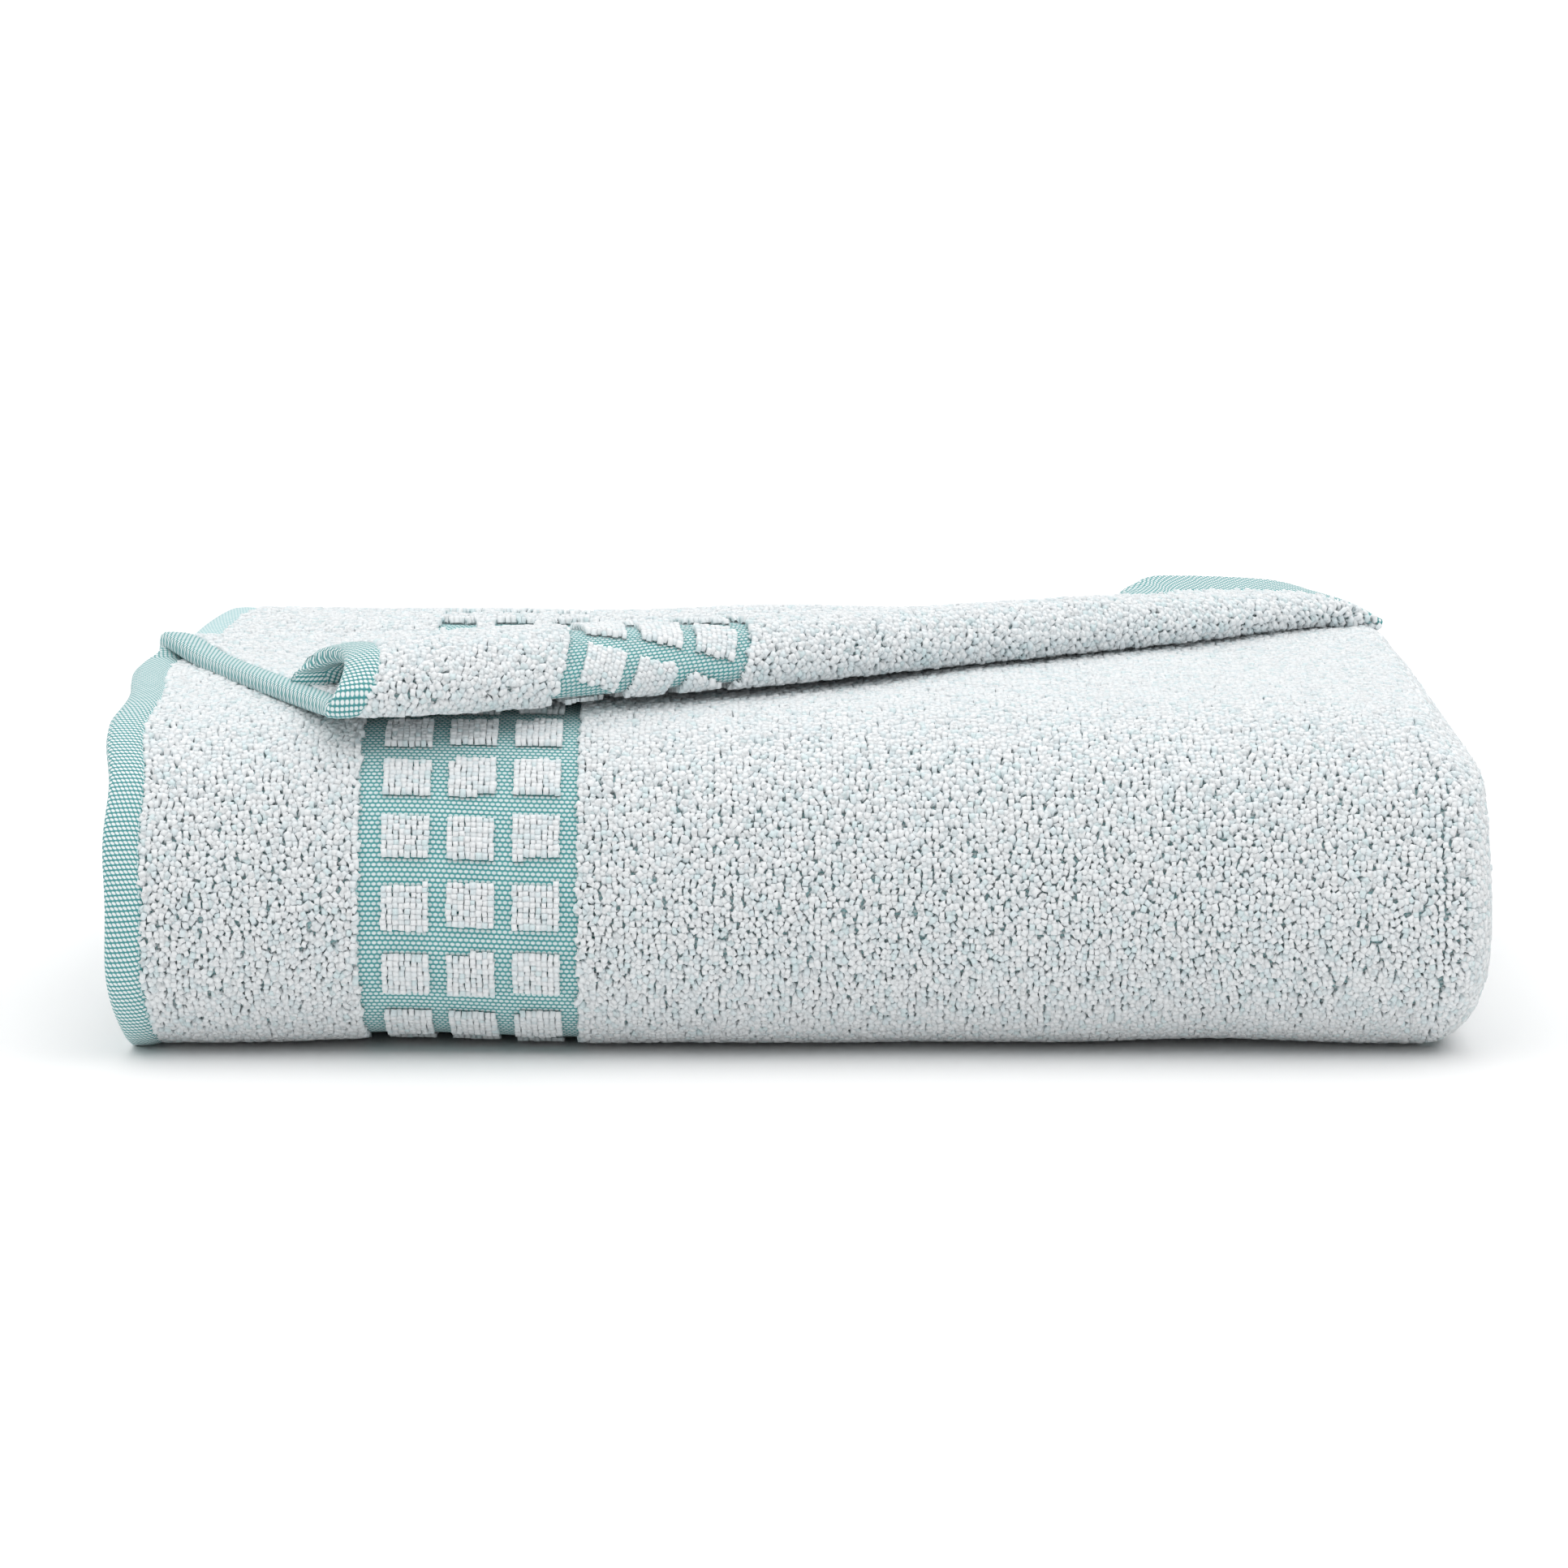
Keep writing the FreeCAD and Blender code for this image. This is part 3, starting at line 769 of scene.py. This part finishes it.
# %% Yarn
def yarn(name, colour):
    f = Finish(name, roughness=0.92, sheen=0.3)
    f.shader.inputs["Base Color"].default_value = (*colour, 1)
    f.shader.inputs["Subsurface Weight"].default_value = 0.3
    f.shader.inputs["Subsurface Radius"].default_value = (1, 1, 1)
    f.shader.inputs["Subsurface Scale"].default_value = 0.0007
    return f.material


YARNS = [
    yarn("bleached yarn", (0.88, 0.91, 0.925)),
    yarn("cool white yarn", (0.83, 0.88, 0.9)),
    yarn("shaded yarn", (0.76, 0.84, 0.865)),
    yarn("teal tinged yarn", (0.72, 0.83, 0.85)),
]
YARN_SHARE = [0.5, 0.3, 0.14, 0.06]

# %% [markdown]
# ## The band of squares
# Three columns of squares stand in loops on the towel's face. On the back it is
# the other way round: bare squares in a grid of loops. Leaving loops out is how the
# loom makes them, and it is done the same way here. Rows are counted from the front
# fold, and on the roll from its foot, where the turned cloth makes them slant.

# %% Where loops stand
COLUMNS = [4.5, 21.1, 37.8]
SQUARE = 12.5
ROW_PITCH = 17.8
ROLL_SLANT = 0.42
crease_run = lengths(outer)[:, FIRST]
foot_run = crease_run + [8 + roll_foot(x)[1] for x in outer[:, 0, 0]]
roll_start = np.interp(BORDER_START, outer_u, foot_run) + 10.5 + ROW_PITCH / 2
front_run = []
for line in outer[:, :FIRST]:
    up = line[:, 1] < -100
    front_run.append(np.interp(40.8, line[up, 2], lengths(line[None])[0][up]))


def kinds(u, v, face):
    """0 for no loop, 1 for a terry loop, 2 for a loop of a square."""
    foot = np.interp(u, outer_u, foot_run)
    rows = v - np.interp(u, outer_u, front_run)
    rolled = v - roll_start + ROLL_SLANT * (u - BORDER_START)
    rows = rows + (rolled - rows) * ease(v, foot - 12, foot) * face
    band = (u > BORDER_START - 0.9) & (u < BORDER_START + BORDER_WIDTH - 0.6)
    row = np.abs((rows + ROW_PITCH / 2) % ROW_PITCH - ROW_PITCH / 2) < SQUARE / 2 - 0.8
    column = np.zeros(u.shape, bool)
    into = u - BORDER_START
    for start in COLUMNS:
        column |= (into >= start + 0.6) & (into <= start + SQUARE - 0.6)
    in_square, between = (2, 0) if face else (0, 1)
    kind = np.where(band, np.where(row & column, in_square, between), 1)
    return np.where(u < HEM - 0.6, 0, kind)


# %% [markdown]
# ## Setting the loops
# Loops stand in columns 1.5 mm apart and every 1.33 mm along a column, measured
# on the cloth. The squares' loops are shorter and stand in line, the others wander,
# and near the floor they are pressed. Only faces that can be seen get loops.

# %% Plant loops on part of the cloth
COLUMN, PICK = 1.5, 1.33
LOOP_FACES = 12
PIECE_FACES = 8000 * LOOP_FACES  # a piece holds 8000 loops at most


def plant(name, rows, places, face, keep, edge=0.0, origin=0, inside_out=False):
    """Loops on a grid of cloth. face is +1 or -1, keep picks loops by place, u and v."""
    spots, ways, normals, us, vs = [], [], [], [], []
    for u in np.arange(places[0] + COLUMN / 2, places[-1], COLUMN):
        k = float(np.interp(u, places, np.arange(len(places))))
        i = min(int(k), len(rows) - 2)
        line = rows[i] * (1 - (k - i)) + rows[i + 1] * (k - i)
        way_u = rows[i + 1] - rows[i]
        s = lengths(line[None])[0]
        v = np.arange(SIDE_HEM if edge else 1.0, s[-1] - edge, PICK)
        way = on_line(line, s, v + 0.5) - on_line(line, s, v - 0.5)
        way /= np.linalg.norm(way, axis=1)[:, None] + 1e-9
        normal = np.cross(on_line(way_u, s, v), way)
        normal /= np.linalg.norm(normal, axis=1)[:, None] + 1e-9
        spots.append(on_line(line, s, v))
        ways.append(way)
        normals.append(normal * face)
        us.append(np.full(len(v), u))
        vs.append(v)
    spots, ways, normals = map(np.concatenate, (spots, ways, normals))
    us, vs = np.concatenate(us) + origin, np.concatenate(vs)
    kind = kinds(us, vs, face > 0 and not inside_out)
    kind[~keep(spots, us, vs)] = 0
    made = 0
    for which, label in ((1, "terry"), (2, "squares")):
        pick = kind == which
        if not pick.any():
            continue
        wander = 0.3 if which == 1 else 0.07
        place = spots[pick] + ways[pick] * rng.normal(0, wander, (pick.sum(), 1))
        place += np.cross(ways[pick], normals[pick]) * rng.normal(0, wander, (pick.sum(), 1))
        lean, turn = (0.3, 0.5) if which == 1 else (0.1, 0.1)
        pressed = 1 - 0.35 * np.exp(-((spots[pick, 2] / 7) ** 2))
        tall = (PILE - 0.4 if which == 1 else PILE - 0.8) * pressed
        long, thick = (1.6, 1.85) if which == 1 else (1.35, 1.9)
        points, quads = loops(place, ways[pick], normals[pick], long, tall, thick, lean, turn)
        tint = np.repeat(rng.choice(len(YARNS), pick.sum(), p=YARN_SHARE), LOOP_FACES)
        for part, start in enumerate(range(0, len(quads), PIECE_FACES)):
            some = slice(start, start + PIECE_FACES)
            q = quads[some]
            low, high = q.min(), q.max() + 1
            part_name = f"{name}_{label}" + (f"_{part + 1}" if part else "")
            piece = new_piece(part_name, points[low:high], q - low, YARNS, tint=tint[some])
        made += int(pick.sum())
    print(name, "loops:", made)
    return made


# %% [markdown]
# ## Loops on every seen face
# The whole towel has loops on both faces, but most of it lies inside the pile. Each
# stretch below is one that shows: the face and the flap's underside, the second
# ply behind the crease, the edges of the fourth, and the two end turns. On the
# stretches away from the band, PLAIN puts the loops where no squares are.

# %% Loops on every seen face
PLAIN = 400
ABOVE_TUCK = 34.5  # over the panel that is tucked into the middle
fourth = cloth[slice(*span["fourth"])]
turn_rows = cloth[slice(*span["right turn"])]
left_rows = cloth[span["left turn"][0] - 1 : span["left turn"][1]]


def walked(rows):
    """How far each line of a turn is from its first."""
    return lengths(rows[None, :, MIDDLE])[0]


def past_crease(u, v):
    return v > np.interp(u, outer_u, crease_run) + 6


def off_floor(p):
    return (p[:, 2] > 4) | (p[:, 1] < -78)


def second_seen(p):
    return (p[:, 1] > crease_y(p[:, 0]) - 8) & (p[:, 2] > ABOVE_TUCK)


def fourth_seen(p):
    """Under the back fold, at the left end, and inside the front fold at the right."""
    back = (p[:, 1] > 30) & (p[:, 2] < 31)
    return back | (p[:, 0] < -112) | ((p[:, 0] > 105) & (p[:, 1] < -20))


def corner_seen(p):
    return (p[:, 2] > ABOVE_TUCK) & (p[:, 0] > 118)


total = plant("face", outer, outer_u, 1, lambda p, u, v: off_floor(p), edge=SIDE_HEM)
total += plant("underlay", outer, outer_u, -1, lambda p, u, v: past_crease(u, v), edge=SIDE_HEM)
total += plant(
    "second", second, second_u, 1, lambda p, u, v: second_seen(p), edge=SIDE_HEM, inside_out=True
)
away = {"edge": SIDE_HEM, "origin": PLAIN}
fourth_u = TURN - fourth[:, MIDDLE, 0]
total += plant("fourth", fourth, fourth_u, 1, lambda p, u, v: fourth_seen(p), **away)
total += plant("right_turn", turn_rows, walked(turn_rows), 1, lambda p, u, v: p[:, 2] > 3, **away)
total += plant("left_turn", left_rows, walked(left_rows), 1, lambda p, u, v: p[:, 2] > 3, **away)
corner, corner_u = gusset[:, FIRST - 1 :], gusset[:, 0, 0] - LEFT
total += plant("back_corner", corner, corner_u, 1, lambda p, u, v: corner_seen(p), edge=SIDE_HEM)
print("loops in all:", total)

# %% [markdown]
# ## Stitches
# A row of short thread stitches holds each hem, on both faces. A drawn line would
# lie flat, so each stitch is a small rounded bar that dips into the cloth at its ends.

# %% Stitch rows
thread = Finish("sewing thread", roughness=0.6, sheen=0.1)
thread_noise = thread.node("ShaderNodeTexNoise", None, {"Scale": 1400.0})
thread.link(
    "Base Color",
    thread.mix(Value(thread, thread_noise.outputs[0]), (0.4, 0.66, 0.67, 1), (0.7, 0.84, 0.85, 1)),
)


def stitches(name, line, normal, push, pitch=3.6, long=2.6, thick=0.6):
    """Stitches along one line, on the side that push gives."""
    s = lengths(line[None])[0]
    at = np.arange(pitch, s[-1] - pitch, pitch)
    place = on_line(line, s, at)
    ahead = on_line(line, s, at + 0.5) - place
    ahead /= np.linalg.norm(ahead, axis=1)[:, None]
    up = on_line(normal, s, at) * np.sign(push)
    steps = np.linspace(-1, 1, 6)
    points = np.empty((len(at), 6, 6, 3))
    side = np.cross(ahead, up)
    for k, t in enumerate(steps):
        for m, a in enumerate(np.linspace(0, 2 * math.pi, 7)[:-1]):
            r = thick / 2 * (0.55 + 0.45 * (1 - t * t) ** 0.5)
            points[:, k, m] = (
                place + ahead * t * long / 2 + up * (abs(push) - 0.5 * t * t)
                + side * math.cos(a) * r + up * math.sin(a) * r
            )
    one = grid_quads(6, 6, wrap=True)
    quads = (np.arange(len(at))[:, None, None] * 36 + one[None]).reshape(-1, 4)
    piece = new_piece(name, points.reshape(-1, 3), quads, [thread.material])
    return piece


def line_in(rows, places, u):
    """The line of a grid at u, and the normals there."""
    _, _, n = frames(rows)
    return at_u(rows, places, u), at_u(n, places, u)


def line_from_edge(rows, far, last):
    """The line that stays far from a side edge, and the normals there."""
    rows = rows[:, ::-1] if last else rows
    _, _, n = frames(rows)
    s = lengths(rows)
    return tuple(np.array([on_line(g[i], s[i], far) for i in range(len(rows))]) for g in (rows, n))


seam, side_seam = HEM * 0.9, SIDE_HEM * 0.9
sewn = [
    stitches("outer_hem_seam", *line_in(outer, outer_u, seam), 1.35),
    stitches("outer_hem_back_seam", *line_in(outer, outer_u, seam), -1.35),
    stitches("second_hem_seam", *line_in(second, second_u, seam), 1.35),
    stitches("flap_edge_seam", *line_from_edge(outer, side_seam, True), 1.25),
    stitches("flap_edge_back_seam", *line_from_edge(outer, side_seam, True), -1.25),
    stitches("side_hem_seam", *line_from_edge(cloth, side_seam, False), 1.25),
]
print("stitch rows:", len(sewn))

# %% [markdown]
# ## What stands for what
# Each plain solid of the frame is stood for by the finished piece in its place,
# and is hidden. The ground cloth is the sheet the towel was cut as: 0.7 by 1.4 m.

# %% Replace
hem_nodes = ("outer_ply_end_hem", "flap_under_hem", "flap_end_hem")
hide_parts(*hem_nodes)
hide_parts("second_ply_end_hem")
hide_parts(*(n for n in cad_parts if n.startswith("side_hem_under")))
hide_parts(*(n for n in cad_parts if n.startswith("side_hem_tucked")))
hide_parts("flap_side_hem")
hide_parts("outer_hem_stitches", "flap_end_hem_stitches")
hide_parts("second_hem_stitches")
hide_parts("flap_side_hem_stitches")
left_over = [n for n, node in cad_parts.items() if not node.hide_render]
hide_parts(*left_over)
print("solids that the cloth stands for:", left_over)

# %% [markdown]
# ## Floor, light and camera
# A wide pale floor, an even white surround and one very wide soft lamp overhead, as
# a studio lights white linen. A small lamp would draw hard lines under every loop.

# %% Floor and light
floor_mesh = bpy.data.meshes.new("floor")
floor_mesh.from_pydata([(-30, -30, 0), (30, -30, 0), (30, 30, 0), (-30, 30, 0)], [], [(0, 1, 2, 3)])
floor = bpy.data.objects.new("floor", floor_mesh)
bpy.context.scene.collection.objects.link(floor)
paper = Finish("white paper", roughness=1.0, sheen=0.0)
paper.shader.inputs["Base Color"].default_value = (0.93, 0.93, 0.93, 1)
floor_mesh.materials.append(paper.material)

world = bpy.data.worlds.new("studio")
world.use_nodes = True
world.node_tree.nodes["Background"].inputs[0].default_value = (1, 1, 1, 1)
world.node_tree.nodes["Background"].inputs[1].default_value = 0.53
bpy.context.scene.world = world

lamp = bpy.data.lights.new("overhead", "SUN")
lamp.angle, lamp.energy = math.radians(100), 2.3
hung = bpy.data.objects.new("overhead", lamp)
hung.rotation_euler = (math.radians(-6), 0, 0)
bpy.context.scene.collection.objects.link(hung)

# %% [markdown]
# ## Camera
# The camera stands low in front, a good step away, on a long lens, which keeps the
# pile's upright edges nearly parallel.

# %% Camera
camera = bpy.data.objects.new("camera", bpy.data.cameras.new("camera"))
camera.data.lens, camera.data.sensor_width = 139.0, 36
camera.location = (-0.004, -1.615, 0.321)
camera.rotation_euler = (math.radians(90 - 9.4), 0, 0)
bpy.context.scene.collection.objects.link(camera)
bpy.context.scene.camera = camera
bpy.context.scene.view_settings.view_transform = "Standard"
print("camera at", tuple(round(x, 3) for x in camera.location))
